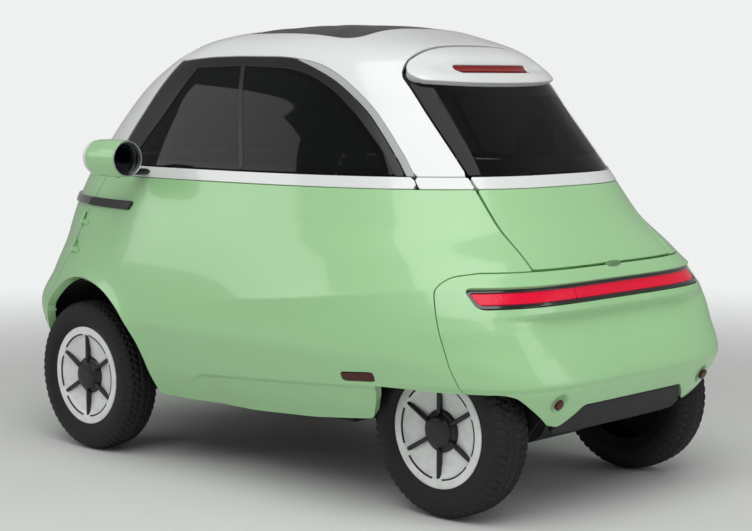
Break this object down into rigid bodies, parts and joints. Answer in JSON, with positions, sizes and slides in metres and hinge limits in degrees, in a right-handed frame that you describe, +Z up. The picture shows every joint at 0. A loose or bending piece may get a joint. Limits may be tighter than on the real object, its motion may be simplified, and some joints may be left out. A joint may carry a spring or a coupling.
{
  "type": "electric microcar",
  "caption": "Small rounded two-seat electric car with a front-opening door, rear hatch, covered rear wheels and steered front wheels.",
  "frame": {"origin": "on the ground, below the middle of the car's length and width", "axes": "+X towards the front of the car, +Y to its left, +Z up"},
  "size_m": [2.5138, 1.632, 1.5009],
  "materials": {
    "body_paint": "gloss",
    "roof_paint": "gloss",
    "wheel_cover": "gloss",
    "black_plastic": "satin",
    "liner": "matt",
    "tyre": "matt",
    "glass": "clear, tinted",
    "lamp_red": "clear red",
    "steel": "satin",
    "cast": "cast",
    "seat_fabric": "woven",
    "canvas": "woven"
  },
  "bodies": {
    "body": {"battery_box": "cast", "body_side_left": "body_paint", "body_side_right": "body_paint", "door_hinge_pins": "body_paint", "drive_unit": "cast", "floor_platform": "steel", "front_arch_liners": "liner", "front_bumper": "body_paint", "front_struts": "steel", "front_subframe": "steel", "half_shafts": "steel", "hatch_hinge_pins": "steel", "headrests": "seat_fabric", "luggage_floor": "black_plastic", "mirror_pods": "body_paint", "rear_arch_liners": "liner", "rear_bulkhead": "black_plastic", "rear_bumper": "body_paint", "rear_diffuser": "black_plastic", "rear_swing_arms": "steel", "roof_shell": "roof_paint", "seat_backrest": "seat_fabric", "seat_cushion": "seat_fabric", "side_bars": "black_plastic", "side_glass": "glass", "steering_column": "steel", "sunroof_panel": "canvas", "tail_lamp": "lamp_red"},
    "door": {"front_door": "body_paint", "windshield": "glass", "front_light_bar": "black_plastic", "door_dash_bar": "black_plastic", "door_hinge_barrels": "body_paint"},
    "hatch": {"hatch": "body_paint", "rear_glass": "glass", "high_brake_lamp": "lamp_red", "hatch_arms": "steel"},
    "steering_wheel": {"steering_wheel": "black_plastic"},
    "knuckle_left": {"knuckle_left": "steel"},
    "knuckle_right": {"knuckle_right": "steel"},
    "wheel_front_left": {"tyre_front_left": "tyre", "wheel_front_left": "wheel_cover"},
    "wheel_front_right": {"tyre_front_right": "tyre", "wheel_front_right": "wheel_cover"},
    "wheel_rear_left": {"tyre_rear_left": "tyre", "wheel_rear_left": "wheel_cover"},
    "wheel_rear_right": {"tyre_rear_right": "tyre", "wheel_rear_right": "wheel_cover"}
  },
  "joints": [
    {"name": "front_door_hinge", "type": "hinge", "parent": "body", "child": "door", "pos_m": [0.791, 0.64303, 0.68], "axis": [-0.3346, -0.1823, 0.9246], "range_deg": [0, 75]},
    {"name": "hatch_hinge", "type": "hinge", "parent": "body", "child": "hatch", "pos_m": [-0.5, 0, 1.384], "axis": [0, 1, 0], "range_deg": [0, 72]},
    {"name": "steering_wheel_turn", "type": "hinge", "parent": "body", "child": "steering_wheel", "pos_m": [0.45, 0.27, 0.98], "axis": [-0.8829, 0, 0.4695], "range_deg": [-450, 450]},
    {"name": "steer_left", "type": "hinge", "parent": "body", "child": "knuckle_left", "pos_m": [0.683, 0.495, 0.2666], "axis": [0, 0, 1], "range_deg": [-30, 30]},
    {"name": "steer_right", "type": "hinge", "parent": "body", "child": "knuckle_right", "pos_m": [0.683, -0.495, 0.2666], "axis": [0, 0, 1], "range_deg": [-30, 30]},
    {"name": "front_left_wheel_spin", "type": "hinge", "parent": "knuckle_left", "child": "wheel_front_left", "pos_m": [0.683, 0.597, 0.2666], "axis": [0, 1, 0], "continuous": true},
    {"name": "front_right_wheel_spin", "type": "hinge", "parent": "knuckle_right", "child": "wheel_front_right", "pos_m": [0.683, -0.597, 0.2666], "axis": [0, 1, 0], "continuous": true},
    {"name": "rear_left_wheel_spin", "type": "hinge", "parent": "body", "child": "wheel_rear_left", "pos_m": [-0.883, 0.466, 0.2666], "axis": [0, 1, 0], "continuous": true},
    {"name": "rear_right_wheel_spin", "type": "hinge", "parent": "body", "child": "wheel_rear_right", "pos_m": [-0.883, -0.466, 0.2666], "axis": [0, 1, 0], "continuous": true}
  ],
  "couplings": [
    {"joint": "steer_left", "follows": "steering_wheel_turn", "ratio": 0.0666},
    {"joint": "steer_right", "follows": "steering_wheel_turn", "ratio": 0.0666}
  ]
}
